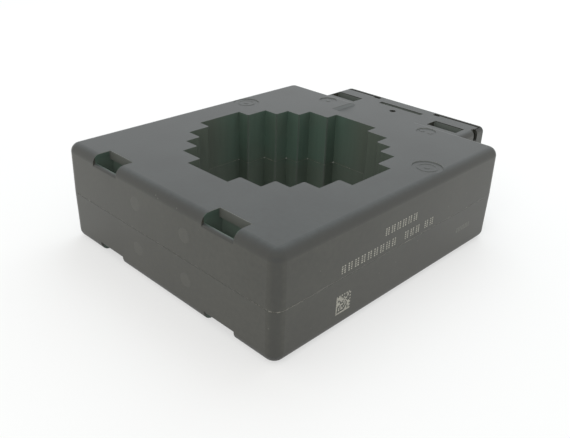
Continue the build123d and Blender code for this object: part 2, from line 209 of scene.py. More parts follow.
caseShape = {
    "windowShift": 0.4 * mm,      # the window is nearer the terminals by this
    "draft": math.radians(0.8),
    "cornerRadius": 4.3 * mm,
    "seamBevel": 0.2 * mm,
    # half widths of the window's steps along x and y, in mm
    "steps": [(40.75, 10.8), (34.9, 21.1), (28.0, 28.0), (21.1, 34.9), (10.8, 40.75)],
    "toothRound": 0.8 * mm,
}
lowest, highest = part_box("rear_shell")
seamHeight, faceHeight = [corner.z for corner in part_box("front_shell")]
footX = lowest.x
sideX = -lowest.x - 2 * caseShape["windowShift"]
sideY = highest.y
windowReach = max(math.hypot(a, b) for a, b in caseShape["steps"]) * mm


# How far the drafted side has grown at a height, against the seam
def draftAt(height):
    return -abs(height - seamHeight) * math.tan(caseShape["draft"])


# Ramps are pairs of place and level; noises are cell size, detail and roughness
casePaint = {
    # the top and side colours are painted light: a cool tint on faces that look up, a warm one on
    # the upright sides
    "topLightAndShadeColour": screen(58, 62, 62),
    "sideLightingColour": screen(59, 59, 53),
    "topSlope": ((0.55, 0), (0.95, 1)),
    "uprightSlope": 0.5,
    "cloud": (21 * mm, 3),
    "cloudShade": ((0.35, 1), (0.68, 0.87)),
    "mottle": (1.7 * mm, 4, 0.6),
    "mottleShade": ((0.3, 0.84), (0.7, 1.14)),
    "grain": (0.34 * mm, 2),
    "grainDepth": 0.016 * mm,
    "mottleDepth": 0.008 * mm,
    "bumpStrength": 0.7,
    "roughness": 0.40,
    "edgeRoughness": 0.06,
    "windowRoughness": 0.25,
    "mottleRoughness": 0.12,
    "refraction": 1.54,
    # walls of the window, greener towards the far corner
    "windowColour": screen(72, 81, 71),
    "windowGreen": screen(67, 87, 76),
    "windowMargin": 0.3 * mm,
    "greenReach": 50 * mm,
    "greenQuarter": ((0.72, 0), (0.95, 1)),
    "greenHeight": ((0.36, 0.3), (0.5, 1)),
    "greenPatches": ((0.4, 1), (0.6, 0.6)),
    "streakScale": (1 / (2.4 * mm), 1 / (2.4 * mm), 1 / (26 * mm)),
    "streakDetail": 3,
    "streakShade": ((0.3, 0.88), (0.7, 1)),
    # rounded edges and upright corners, darker as painted shade
    "edgeColour": screen(48, 49, 47),
    "edgeBand": ((0.1, 0), (0.75, 1)),
    "edgeShare": 0.6,
    "cornerBand": ((0.1, 0), (0.8, 1)),
    "cornerShare": 0.5,
    # foot pockets, with painted shade near their mouths and painted light deeper down, and the wall
    # above each catch, lighter as painted light
    "pocketColour": screen(64, 79, 71),
    "pocketDeepLightColour": screen(108, 120, 112),
    "pocketDepth": ((0.55, 1), (0.92, 0)),
    "pocketX": (-61.6 * mm, -53.9 * mm),
    "pocketY": (23.5 * mm, 38.7 * mm),
    "pocketLip": 0.2 * mm,
    "ledgeLightColour": screen(94, 96, 92),
    "ledgeX": -55.4 * mm,
    "catchHeight": 36.5 * mm,
    # upright walls of the shallow insets, lighter as painted light against their shade
    "rimLightColour": screen(128, 130, 127),
    "insetDepth": 0.4 * mm,
    # sloped wall round the plate field, lighter as painted light against its shade
    "plateWallLightColour": screen(87, 91, 91),
    "plateStart": 44.0 * mm,
    "plateHalf": 18.5 * mm,
    "plateMargin": 1 * mm,
    "plateSlope": math.sqrt(0.5),
    "plateSpread": 0.1,
    "plateBand": ((0.5, 1), (1, 0)),
    # inside the slots of the terminal box, lighter as painted light against their shade
    "slotLightColour": screen(104, 110, 106),
    "slotX": (sideX + 8 * mm, sideX + 15.6 * mm),
    "slotEnd": 36.0 * mm,
    "slotTop": 1.5 * mm,
    # specks of dust on the sides, and rubbed patches beside the seam
    "dustColour": screen(128, 127, 120),
    "dustSpacing": 3.1 * mm,
    "dustRadius": 0.07,           # in cells
    "cleanCells": 0.8,            # share without a speck
    "dustShare": 0.35,
    "seamBand": 0.6 * mm,
    "rubbedBand": ((0.3, 1), (1, 0)),
    "rubbedCloud": (1.4 * mm, 2),
    "rubbedPatches": ((0.54, 0), (0.62, 1)),
    "rubbedMargin": 1 * mm,
    "rubbedShare": 0.28,
    # ejector marks, y and z in mm on the foot side
    "ejectors": [(12.6, 30.2), (12.6, 12.3), (-14.5, 29.0), (-14.5, 12.1)],
    "ejectorRadius": 2.6 * mm,
    "ejectorLine": 0.22 * mm,
    "ejectorDepth": 0.03 * mm,
    "ejectorShare": 0.07,
    "footDepth": 1.2 * mm,
}


# Spark-eroded plastic of the two shells
def paintCase():
    paint = casePaint
    finish = newFinish("casePlastic")
    place = finish.objectPlace()
    x, y, z = finish.parts(place)
    faceX, faceY, faceZ = finish.parts(finish.facing())
    slope = abs(faceZ)
    upright = slope < paint["uprightSlope"]
    fromSeam = abs(z - seamHeight)
    cloud = finish.cloud(place, *paint["cloud"])
    mottle = finish.cloud(place, *paint["mottle"])
    grain = finish.cloud(place, *paint["grain"])
    # painted light: a cool tint where the faces look up, a warm one on the sides
    upward = finish.ramp(slope, paint["topSlope"])
    colour = finish.mixed(upward, paint["sideLightingColour"], paint["topLightAndShadeColour"])
    colour = finish.shaded(colour, cloud, paint["cloudShade"])
    colour = finish.shaded(colour, mottle, paint["mottleShade"])

    # walls of the window: upright faces within its reach
    inWindow = (finish.reach(place) < windowReach + paint["windowMargin"]) * upright
    green = finish.ramp((x + y) / paint["greenReach"], paint["greenQuarter"])
    green = green * finish.ramp(z / faceHeight, paint["greenHeight"])
    green = green * finish.ramp(cloud, paint["greenPatches"])
    streaks = finish.cloud(finish.stretched(place, paint["streakScale"]), 1, paint["streakDetail"])
    wall = finish.mixed(green, paint["windowColour"], paint["windowGreen"])
    wall = finish.shaded(wall, streaks, paint["streakShade"])
    colour = finish.mixed(inWindow, colour, wall)

    # painted shade: rounded edges and upright corners are a little darker than the faces; both
    # masks peak at 1 half way round
    onPlate = (abs(y) < paint["plateHalf"]) * (x > paint["plateStart"])
    edge = finish.ramp(4 * slope * (1 - slope), paint["edgeBand"]) * (1 - onPlate)
    corner = finish.ramp(4 * faceX * faceX * faceY * faceY, paint["cornerBand"]) * upright
    mixShare = edge * paint["edgeShare"] + corner * paint["cornerShare"]
    colour = finish.mixed(mixShare, colour, paint["edgeColour"])

    # foot pockets with painted shade near their mouths and painted light deeper down; the walls
    # above their catches and the rims of the round insets lighter, as painted light
    (pocketNear, pocketFar), (pocketLow, pocketHigh) = paint["pocketX"], paint["pocketY"]
    inPocket = (x > pocketNear) * (x < pocketFar) * (abs(y) > pocketLow) * (abs(y) < pocketHigh)
    inPocket = inPocket * (fromSeam < seamHeight - paint["pocketLip"])
    # painted light on the wall above each catch
    ledge = inPocket * (x > paint["ledgeX"]) * (fromSeam > paint["catchHeight"] - seamHeight)
    # painted light on the upright walls of the round insets
    rim = (z > faceHeight - paint["insetDepth"]) * upright * (1 - inWindow) * (1 - inPocket)
    deep = finish.ramp(fromSeam / seamHeight, paint["pocketDepth"])
    pocket = finish.mixed(deep, paint["pocketColour"], paint["pocketDeepLightColour"])
    colour = finish.mixed(inPocket, colour, pocket)
    colour = finish.mixed(ledge, colour, paint["ledgeLightColour"])
    colour = finish.mixed(rim, colour, paint["rimLightColour"])

    # wall round the plate field, known by its slope, lighter as painted light
    offSlope = abs(slope - paint["plateSlope"]) / paint["plateSpread"]
    plateWall = onPlate * finish.ramp(offSlope, paint["plateBand"])
    plateWall = plateWall * (abs(y) < paint["plateHalf"] - paint["plateMargin"])
    plateWall = plateWall * (x < sideX + paint["plateMargin"])
    colour = finish.mixed(plateWall, colour, paint["plateWallLightColour"])

    # dust on the upright sides
    values = {"Vector": place, "Scale": 1 / paint["dustSpacing"]}
    specks = finish.node("ShaderNodeTexVoronoi", values=values)
    pick = finish.parts(Wire(finish, specks.outputs["Color"]))[0]
    dust = Wire(finish, specks.outputs["Distance"]) < paint["dustRadius"]
    dust = dust * (pick > paint["cleanCells"]) * upright * (1 - inWindow)
    colour = finish.mixed(dust * paint["dustShare"], colour, paint["dustColour"])

    # rubbed patches beside the seam
    patches = finish.cloud(place, *paint["rubbedCloud"])
    rubbed = finish.ramp(fromSeam / paint["seamBand"], paint["rubbedBand"])
    rubbed = rubbed * finish.ramp(patches, paint["rubbedPatches"])
    rubbed = rubbed * upright * (1 - inWindow) * (x < sideX + paint["rubbedMargin"])
    colour = finish.mixed(rubbed * paint["rubbedShare"], colour, paint["dustColour"])

    # slots of the terminal box, below its face, lighter as painted light
    slotNear, slotFar = paint["slotX"]
    inSlot = (x > slotNear) * (x < slotFar) * (abs(y) < paint["slotEnd"])
    inSlot = inSlot * (fromSeam < seamHeight - paint["slotTop"]) * upright
    colour = finish.mixed(inSlot, colour, paint["slotLightColour"])

    # ejector marks on the foot side
    height = grain * paint["grainDepth"] + mottle * paint["mottleDepth"]
    onFoot = x < footX + paint["footDepth"]
    for markY, markZ in paint["ejectors"]:
        centre = (0, markY * mm, markZ * mm)
        off = finish.distance(finish.stretched(place, (0, 1, 1)), centre)
        line = (abs(off - paint["ejectorRadius"]) < paint["ejectorLine"] / 2) * onFoot
        height = height - line * paint["ejectorDepth"]
        disc = (off < paint["ejectorRadius"]) * onFoot
        colour = finish.mixed(disc * paint["ejectorShare"], colour, paint["dustColour"])

    roughness = paint["roughness"] + edge * paint["edgeRoughness"]
    roughness = roughness + inWindow * paint["windowRoughness"]
    roughness = roughness + (mottle - noiseMean) * paint["mottleRoughness"]
    return finish.surface(
        Base_Color=colour,
        Roughness=roughness,
        Normal=finish.bump(height, paint["bumpStrength"]),
        IOR=paint["refraction"],
    )


coverPaint = {
    "colour": screen(68, 69, 65),
    "shade": screen(60, 61, 57),
    # painted shade: the ends that face up and down are darker
    "topLightAndShadeColour": screen(36, 37, 35),      # ends that face up and down
    "topSlope": ((0.2, 0), (0.7, 1)),
    "cloud": (9 * mm, 2),
    "mottle": (1.3 * mm, 4, 0.6),
    "mottleShade": ((0.3, 0.86), (0.7, 1.13)),
    "grain": (0.3 * mm, 2),
    "grainDepth": 0.012 * mm,
    "bumpStrength": 0.7,
    "roughness": 0.36,
    "mottleRoughness": 0.08,
    "refraction": 1.5,
}


def coverPlastic():
    paint = coverPaint
    finish = newFinish("coverPlastic")
    place = finish.objectPlace()
    mottle = finish.cloud(place, *paint["mottle"])
    grain = finish.cloud(place, *paint["grain"])
    slope = abs(finish.parts(finish.facing())[2])
    # painted shade on the ends that face up and down
    upward = finish.ramp(slope, paint["topSlope"])
    colour = finish.mixed(finish.cloud(place, *paint["cloud"]), paint["colour"], paint["shade"])
    colour = finish.shaded(colour, mottle, paint["mottleShade"])
    return finish.surface(
        Base_Color=finish.mixed(upward, colour, paint["topLightAndShadeColour"]),
        Roughness=paint["roughness"] + mottle * paint["mottleRoughness"],
        Normal=finish.bump(grain * paint["grainDepth"], paint["bumpStrength"]),
        IOR=paint["refraction"],
    )


coreStrip = {
    "colour": screen(150, 152, 158),
    "shade": screen(112, 116, 126),
    "thickness": 0.3 * mm,
    "jointShade": ((0.0, 0.55), (0.18, 1)),
    "jointDepth": 0.02 * mm,
    "blotch": (6 * mm, 4),
    "metallic": 0.9,
    "roughness": 0.32,
    "blotchRoughness": 0.2,
    "bumpStrength": 0.6,
}


# Wound strip of silicon steel: fine rings on its two faces
def stripSteel():
    strip = coreStrip
    finish = newFinish("stripSteel")
    place = finish.objectPlace()
    turn = finish.maths("FRACT", finish.reach(place) / strip["thickness"])
    line = finish.ramp(turn, strip["jointShade"])
    blotch = finish.cloud(place, *strip["blotch"])
    colour = finish.mixed(blotch, strip["colour"], strip["shade"])
    return finish.surface(
        Base_Color=finish.mixed(1, colour, line, "MULTIPLY"),
        Metallic=strip["metallic"],
        Roughness=strip["roughness"] + blotch * strip["blotchRoughness"],
        Normal=finish.bump(line * strip["jointDepth"], strip["bumpStrength"]),
    )


windingWire = {
    "colour": screen(176, 92, 44),
    "shade": screen(140, 66, 30),
    "waves": 400,                 # in each radian round the ring
    "gapShade": ((0.0, 0.45), (0.6, 1)),
    "turnDepth": 0.08 * mm,
    "blotch": (3 * mm, 3),
    "metallic": 0.6,
    "coat": 0.4,
    "roughness": 0.28,
    "blotchRoughness": 0.1,
    "bumpStrength": 0.6,
}


# Enamelled wire: turns that run across the ring, close together
def enamelledWire():
    wire = windingWire
    finish = newFinish("enamelledWire")
    place = finish.objectPlace()
    x, y = finish.parts(place)[:2]
    turns = finish.maths("SINE", finish.maths("ARCTAN2", y, x) * wire["waves"])
    blotch = finish.cloud(place, *wire["blotch"])
    colour = finish.mixed(blotch, wire["colour"], wire["shade"])
    return finish.surface(
        Base_Color=finish.shaded(colour, (turns + 1) / 2, wire["gapShade"]),
        Metallic=wire["metallic"],
        Roughness=wire["roughness"] + blotch * wire["blotchRoughness"],
        Coat_Weight=wire["coat"],
        Normal=finish.bump(turns * wire["turnDepth"], wire["bumpStrength"]),
    )


tapeWrap = {
    "colour": screen(206, 168, 74),
    "edgeColour": screen(150, 112, 40),
    "laps": 34,                   # round the ring
    "slant": 12,                  # laps in each metre of height
    "lapEdge": ((0.0, 0), (0.08, 1)),
    "lapDepth": 0.05 * mm,
    "crease": (5 * mm, 4),
    "creaseDepth": 0.1 * mm,
    "roughness": 0.22,
    "creaseRoughness": 0.16,
    "bumpStrength": 0.6,
}


# Overlapping turns of polyester tape
def windingTape():
    tape = tapeWrap
    finish = newFinish("polyesterTape")
    place = finish.objectPlace()
    x, y, z = finish.parts(place)
    around = finish.maths("ARCTAN2", y, x) * (tape["laps"] / (2 * math.pi))
    lap = finish.maths("FRACT", around + z * tape["slant"])
    crease = finish.cloud(place, *tape["crease"])
    height = lap * tape["lapDepth"] + crease * tape["creaseDepth"]
    edge = finish.ramp(lap, tape["lapEdge"])
    return finish.surface(
        Base_Color=finish.mixed(edge, tape["edgeColour"], tape["colour"]),
        Roughness=tape["roughness"] + crease * tape["creaseRoughness"],
        Normal=finish.bump(height, tape["bumpStrength"]),
    )


mouldedLook = {
    "cloud": (4, 0.6),            # detail and roughness
    "grains": 6,                  # across one cell of the cloud
    "grainDetail": 3,
    "grainRoughness": 0.15,
    "bumpStrength": 0.7,
}
# By slot: name, two colours, cell size, roughness and depth of the grain
mouldings = {
    "cap_plastic": ("naturalNylon", screen(214, 209, 190), screen(196, 190, 168),
                    4 * mm, 0.45, 0.01 * mm),
    "foam": ("closedFoam", screen(52, 52, 53), screen(34, 34, 35),
             1.2 * mm, 0.85, 0.15 * mm),
    "lead_insulation": ("leadInsulation", screen(158, 42, 34), screen(132, 32, 26),
                        2 * mm, 0.42, 0.01 * mm),
}


# Plain moulding or foam in two close colours
def moulded(name, colour, shade, size, roughness, grainDepth):
    look = mouldedLook
    finish = newFinish(name)
    place = finish.objectPlace()
    cloud = finish.cloud(place, size, *look["cloud"])
    grain = finish.cloud(place, size / look["grains"], look["grainDetail"])
    return finish.surface(
        Base_Color=finish.mixed(cloud, colour, shade),
        Roughness=roughness + (grain - noiseMean) * look["grainRoughness"],
        Normal=finish.bump(grain * grainDepth, look["bumpStrength"]),
    )


metalLook = {
    "lines": (3, 0.6),            # detail and roughness
    "lineShade": ((0.3, 0.86), (0.7, 1.06)),
    "lineRoughness": 0.16,
    "lineDepth": 0.006 * mm,
    "blotch": (2.2 * mm, 3),
    "blotchBand": ((0.35, 0), (0.75, 1)),
    "metallic": 1.0,
    "bumpStrength": 0.5,
}
# By slot: name, two colours, lines in each metre along x, y and z, and roughness
metals = {
    "terminal_brass": ("machinedBrass", screen(214, 180, 104), screen(190, 152, 84),
                       (60, 1 / (0.2 * mm), 1 / (0.2 * mm)), 0.28),
    "zinc_steel": ("zincPlate", screen(196, 198, 200), screen(172, 176, 180),
                   (1 / (0.3 * mm), 90, 90), 0.32),
}


# Bright metal with faint lines along one direction
def drawnMetal(name, colour, shade, stretch, roughness):
    look = metalLook
    finish = newFinish(name)
    place = finish.objectPlace()
    lines = finish.cloud(finish.stretched(place, stretch), 1, *look["lines"])
    blotch = finish.ramp(finish.cloud(place, *look["blotch"]), look["blotchBand"])
    tone = finish.mixed(blotch, colour, shade)
    return finish.surface(
        Base_Color=finish.shaded(tone, lines, look["lineShade"]),
        Metallic=look["metallic"],
        Roughness=roughness + (lines - noiseMean) * look["lineRoughness"],
        Normal=finish.bump(lines * look["lineDepth"], look["bumpStrength"]),
    )


materials = {
    "case_plastic": paintCase(),
    "cover_plastic": coverPlastic(),
    "core_steel": stripSteel(),
    "winding_copper": enamelledWire(),
    "winding_tape": windingTape(),
}
materials |= {slotName: moulded(*look) for slotName, look in mouldings.items()}
materials |= {slotName: drawnMetal(*look) for slotName, look in metals.items()}
slotOf = {part["node"]: part["material_slot"] for part in frame["record"]["subparts"]}
for name, node in nodes.items():
    node.data.materials.clear()
    node.data.materials.append(materials[slotOf[name]])
print("materials made:", len(materials))


# The mesh that was built, as a piece that rides on a body
def newPiece(name, build, material, body="housing"):
    mesh = bpy.data.meshes.new(name)
    build.to_mesh(mesh)
    build.free()
    mesh.materials.append(material)
    piece = bpy.data.objects.new(name, mesh)
    bpy.context.scene.collection.objects.link(piece)
    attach(piece, body)
    return piece


# Four-sided faces between two closed loops with the same number of corners
def bridge(build, first, second):
    count = len(first)
    faces = []
    for i in range(count):
        j = (i + 1) % count
        faces.append(build.faces.new((first[i], first[j], second[j], second[i])))
    return faces


# Closed form from loops, the last of them joined to the first
def closedTube(build, loops):
    for here, there in zip(loops, loops[1:] + loops[:1]):
        bridge(build, here, there)


# Thin raised shapes: closed outlines in a flat frame, and rings as pairs of outer and inner
# outlines, laid on a surface by a function of place and lift
def raisedShapes(name, outlines, lay, lift, sink, material, rings=()):
    build = bmesh.new()
    for outline in outlines:
        top, foot = [
            [build.verts.new(lay(a, b, height)) for a, b in outline] for height in (lift, -sink)
        ]
        build.faces.new(top)
        build.faces.new(foot[::-1])
        bridge(build, foot, top)
    for outer, inner in rings:
        corners = ((outer, -sink), (outer, lift), (inner, lift), (inner, -sink))
        closedTube(build, [
            [build.verts.new(lay(a, b, height)) for a, b in outline] for outline, height in corners
        ])
    bmesh.ops.recalc_face_normals(build, faces=build.faces)
    return newPiece(name, build, material)


flashLine = {
    "colour": screen(70, 70, 64),
    # paler on the marked side, as painted light against the shade under the fin
    "markedSideLightColour": screen(94, 93, 88),
    "windowColour": screen(80, 86, 76),
    "paleColour": screen(132, 130, 122),
    "roughness": 0.35,
    "patch": (6 * mm, 3, 0.6),
    "patchBand": ((0.56, 0), (0.7, 1)),
    "fleck": (0.9 * mm, 2),
    "fleckBand": ((0.48, 0), (0.58, 1)),
    "wornCorner": (-62.9 * mm, -57.1 * mm, 20 * mm),
    "wornReach": 14 * mm,
    "wornBand": ((0.4, 1), (1, 0)),
    "wornShare": 0.8,
    "sideMargin": 0.5 * mm,
    "step": 0.45 * mm,
    "halfWidth": 0.19 * mm,
    "tipShare": 0.5,              # how wide the tip is against the foot
    "foot": 0.06 * mm,
    "waves": ((900, 0.6), (130, 0.7)),   # scale and share of each noise in the height
    "leastRise": 0.4,
    "meanRise": 0.7,
    "seamRise": 0.24 * mm,        # from the bottom of the seam's bevel
    "seamSeed": 3.0,
    "windowRise": 0.14 * mm,
    "windowHeight": 17.8 * mm,    # the window's parting line lies lower than the seam
    "windowSeed": 8.0,
}


# Adds points between those given so that none lie further apart than a step
def filled(points, step):
    route = []
    for i, (here, out) in enumerate(points):
        there, outThere = points[(i + 1) % len(points)]
        count = max(1, math.ceil((there - here).length / step))
        for k in range(count):
            share = k / count
            route.append((here.lerp(there, share), out.lerp(outThere, share).normalized()))
    return route


# Outline of the case at the seam as points and outward directions, one every step
def caseRoute(inset, step):
    radius = caseShape["cornerRadius"] - inset
    farX, farY, nearX = sideX - inset, sideY - inset, footX + inset
    corners = [(farX, farY), (nearX, farY), (nearX, -farY), (farX, -farY)]
    points = []
    for i, (cx, cy) in enumerate(corners):
        centre = Vector((cx - math.copysign(radius, cx), cy - math.copysign(radius, cy)))
        count = max(2, math.ceil(radius * math.pi / 2 / step))
        for k in range(count + 1):
            turn = math.pi / 2 * (i + k / count)
            out = Vector((math.cos(turn), math.sin(turn)))
            points.append((centre + out * radius, out))
    return filled(points, step)


# Points along the window's staircase, with outward meaning into the window
def windowRoute(step):
    steps = [(a * mm, b * mm) for a, b in caseShape["steps"]]
    quarter = []
    for here, there in zip(steps, steps[1:]):
        quarter += [here, (there[0], here[1])]
    quarter.append(steps[-1])
    corners = []
    for signX, signY, way in ((1, 1, 1), (-1, 1, -1), (-1, -1, 1), (1, -1, -1)):
        corners += [Vector((x * signX, y * signY)) for x, y in quarter[::way]]
    cut = caseShape["toothRound"]
    points = []
    for i, corner in enumerate(corners):
        before = (corner - corners[i - 1]).normalized()
        after = (corners[(i + 1) % len(corners)] - corner).normalized()
        inBefore, inAfter = Vector((-before.y, before.x)), Vector((-after.y, after.x))
        into = (inBefore + inAfter).normalized()
        if before.x * after.y - before.y * after.x < 0:     # a tooth, which is rounded
            middle = corner - into * cut * (math.sqrt(2) - 1)
            points += [(corner - before * cut, inBefore), (middle, into),
                       (corner + after * cut, inAfter)]
        else:
            points.append((corner, into))
    return filled(points, step)


# Ragged fin of flash along a closed route at one height
def flashFin(name, route, level, rise, material, seed):
    half = flashLine["halfWidth"]
    tipHalf = half * flashLine["tipShare"]
    build = bmesh.new()
    rows = []
    for point, out in route:
        wave = sum(
            noise.noise(Vector((point.x, point.y, seed + i)) * scale) * share
            for i, (scale, share) in enumerate(flashLine["waves"])
        )
        height = rise * min(1, max(flashLine["leastRise"], flashLine["meanRise"] + wave))
        inner = point - out * flashLine["foot"]
        tip = point + out * height
        rows.append([
            build.verts.new((inner.x, inner.y, level - half)),
            build.verts.new((tip.x, tip.y, level - tipHalf)),
            build.verts.new((tip.x, tip.y, level + tipHalf)),
            build.verts.new((inner.x, inner.y, level + half)),
        ])
    closedTube(build, list(zip(*rows)))
    bmesh.ops.recalc_face_normals(build, faces=build.faces)
    return newPiece(name, build, material)


# Flash in one colour with pale flecks, and more of them at the corner that shows most wear; on the
# marked side the flash is paler, as painted light
def flashPlastic(name, colour):
    finish = newFinish(name)
    place = finish.objectPlace()
    off = finish.distance(place, flashLine["wornCorner"])
    mixShare = finish.ramp(off / flashLine["wornReach"], flashLine["wornBand"])
    patch = finish.ramp(finish.cloud(place, *flashLine["patch"]), flashLine["patchBand"])
    fleck = finish.ramp(finish.cloud(place, *flashLine["fleck"]), flashLine["fleckBand"])
    pale = finish.maths("MAXIMUM", patch, mixShare * flashLine["wornShare"])
    onMarkedSide = finish.parts(place)[1] < -sideY + flashLine["sideMargin"]
    colour = finish.mixed(onMarkedSide, colour, flashLine["markedSideLightColour"])
    return finish.surface(
        Base_Color=finish.mixed(pale * fleck, colour, flashLine["paleColour"]),
        Roughness=flashLine["roughness"],
    )


burrs = {
    "size": 0.5 * mm,
    "sizes": (0.6, 0.8),          # least, and how much more, as shares of the size
    "seed": 9,
    "sunk": 0.5,                  # share of the size that a lump goes into the corner
    "ragged": (0.7, 0.6),         # mean, and how much noise, as shares of the radius
    "raggedScale": 3000,
    "flat": 0.7,
    "subdivisions": 2,
    # pale as a painted highlight on the lumps
    "colour": screen(150, 158, 156),
    "surface": (0.6 * mm, 0.4, 0.01 * mm),   # cell size, roughness and depth of the grain
}


# Lumps of flash in the window's inner corners, pale as painted highlights
def windowBurrs(material):
    steps = caseShape["steps"]
    (least, more), (mean, rough) = burrs["sizes"], burrs["ragged"]
    build = bmesh.new()
    for quarter, (signX, signY) in enumerate(((1, 1), (-1, 1), (-1, -1), (1, -1))):
        for step, (a, b) in enumerate(steps):
            index = quarter * len(steps) + step
            size = burrs["size"] * (least + more * scatter(index, burrs["seed"]))
            sunk = size * burrs["sunk"]
            place = Vector((
                signX * (a * mm - sunk), signY * (b * mm - sunk), flashLine["windowHeight"]
            ))
            lump = bmesh.ops.create_icosphere(
                build, subdivisions=burrs["subdivisions"], radius=size,
                matrix=Matrix.Translation(place),
            )
            for vert in lump["verts"]:
                x, y, z = vert.co - place
                ragged = mean + rough * noise.noise(vert.co * burrs["raggedScale"])
                vert.co = place + Vector((x * ragged, y * ragged, z * ragged * burrs["flat"]))
    return newPiece("windowBurrs", build, material)


flashFin(
    "seamFlash", caseRoute(caseShape["seamBevel"], flashLine["step"]),
    seamHeight, flashLine["seamRise"],
    flashPlastic("seamFlashPlastic", flashLine["colour"]), flashLine["seamSeed"],
)
flashFin(
    "windowFlash", windowRoute(flashLine["step"]),
    flashLine["windowHeight"], flashLine["windowRise"],
    flashPlastic("windowFlashPlastic", flashLine["windowColour"]), flashLine["windowSeed"],
)
windowBurrs(moulded("burrHighlightPlastic", burrs["colour"], flashLine["paleColour"], *burrs["surface"]))
print("seam flash made")


# Plain marks on the side nearest the camera, by formula: a square of dots and rows of dashes
sideMarking = {
    "colour": screen(172, 170, 160),
    "wornColour": screen(104, 104, 98),
    "faintColour": screen(118, 118, 112),
    "roughness": 0.6,
    "wear": (0.55 * mm, 4, 0.65),
    "wearBand": ((0.42, 0), (0.66, 1)),
    "wearShare": 0.75,
    "lift": 0.02 * mm,
    "sink": 0.05 * mm,
    # in mm from here on
    "squareCorner": (-34.9, 6.2),     # x and z, lower left
    "squareSize": 7.2,
    "squareCells": 12,
    "squareSeed": 4,
    "squareShare": 0.5,               # share of empty cells inside its edges
    "dotHeight": 0.94,                # share of a cell
    # x, z, how many cells, their pitch and height
    "rows": [
        (-33.6, 21.6, 9, 3.3, 3.2),
        (0.2, 21.6, 3, 3.3, 3.2),
        (12.2, 21.6, 2, 3.3, 3.2),
        (-11.5, 27.2, 6, 3.2, 3.1),
    ],
    "faintRow": (36.6, 10.6, 4, 2.4, 2.2),
    "dashes": 4,                      # in each column
    "dashWidth": 0.62,
    "dashHeight": 0.62,               # share of a dash's space
    "columns": 2,                     # in each cell
    "columnGap": 1.3,
}


def markingInk(name, colour):
    finish = newFinish(name)
    wear = finish.cloud(finish.objectPlace(), *sideMarking["wear"])
    mixShare = finish.ramp(wear, sideMarking["wearBand"]) * sideMarking["wearShare"]
    return finish.surface(
        Base_Color=finish.mixed(mixShare, colour, sideMarking["wornColour"]),
        Roughness=sideMarking["roughness"],
    )


def rectangle(x, z, length, height):
    return [(x, z), (x + length, z), (x + length, z + height), (x, z + height)]


# Point on the drafted side wall, a and b in mm
def onSide(a, b, lift):
    return Vector((a * mm, -(sideY + draftAt(b * mm)) - lift, b * mm))


# Square with two full edges and two dotted ones; neighbouring dots in a row are one outline
def squareOutlines():
    count = sideMarking["squareCells"]
    last = count - 1
    cell = sideMarking["squareSize"] / count
    height = cell * sideMarking["dotHeight"]
    left, low = sideMarking["squareCorner"]
    outlines = []
    for row in range(count):
        start = None
        for column in range(count + 1):
            level = scatter(row * count + column, sideMarking["squareSeed"])
            edge = column == 0 or row == 0
            dotted = (row == last and column % 2 == 0) or (column == last and row % 2 == 0)
            inner = column < last and row < last and level > sideMarking["squareShare"]
            on = column < count and (edge or dotted or inner)
            if on and start is None:
                start = column
            if not on and start is not None:
                length = (column - start) * cell
                outlines.append(rectangle(left + start * cell, low + row * cell, length, height))
                start = None
    return outlines


# A row of plain cells, each with columns of short dashes
def dashOutlines(x, z, count, pitch, height):
    space = height / sideMarking["dashes"]
    width, dash = sideMarking["dashWidth"], space * sideMarking["dashHeight"]
    outlines = []
    for cell in range(count):
        for column in range(sideMarking["columns"]):
            left = x + cell * pitch + column * sideMarking["columnGap"]
            for k in range(sideMarking["dashes"]):
                outlines.append(rectangle(left, z + k * space, width, dash))
    return outlines


marks = squareOutlines()
for row in sideMarking["rows"]:
    marks += dashOutlines(*row)
raisedShapes("sideMarks", marks, onSide, sideMarking["lift"], sideMarking["sink"],
             markingInk("laserMark", sideMarking["colour"]))
faintMarks = dashOutlines(*sideMarking["faintRow"])
raisedShapes("faintMarks", faintMarks, onSide, sideMarking["lift"], sideMarking["sink"],
             markingInk("faintMark", sideMarking["faintColour"]))
print("side marks made:", len(marks) + len(faintMarks))


# Marks in the round insets of the front face, in mm: a ring round a dot in each large one,
# one or two dots in each small one
faceInsets = {
    "depth": 0.3,
    "large": (22.3, 48.68),
    "small": (53.68, 27.0),
    "ringRadius": 3.9,
    "ringWidth": 0.7,
    "ringCorners": 48,
    "dotRadius": 1.15,
    "dotCorners": 40,
    "pairGap": 1.9,               # of the two dots, each from the inset's centre
    "relief": 0.12,
    "sink": 0.03,
}


def circle(x, y, radius, count):
    turns = [2 * math.pi * k / count for k in range(count)]
    return [(x + radius * math.cos(turn), y + radius * math.sin(turn)) for turn in turns]


def ringOutlines(x, y):
    outer, width = faceInsets["ringRadius"], faceInsets["ringWidth"]
    return [circle(x, y, radius, faceInsets["ringCorners"]) for radius in (outer, outer - width)]


def dotOutline(x, y):
    return circle(x, y, faceInsets["dotRadius"], faceInsets["dotCorners"])


# Point over an inset's floor, a and b in mm
def onInset(a, b, lift):
    return Vector((a * mm, b * mm, faceHeight - faceInsets["depth"] * mm + lift))


dots, rings = [], []
for side in (1, -1):
    x, y = faceInsets["large"]
    rings.append(ringOutlines(x, side * y))
    dots.append(dotOutline(x, side * y))
    x, y = faceInsets["small"]
    shifts = (0,) if side > 0 else (-faceInsets["pairGap"], faceInsets["pairGap"])
    dots += [dotOutline(x, side * y + shift) for shift in shifts]
raisedShapes("faceMarks", dots, onInset, faceInsets["relief"] * mm, faceInsets["sink"] * mm,
             materials["case_plastic"], rings)
print("face marks made")


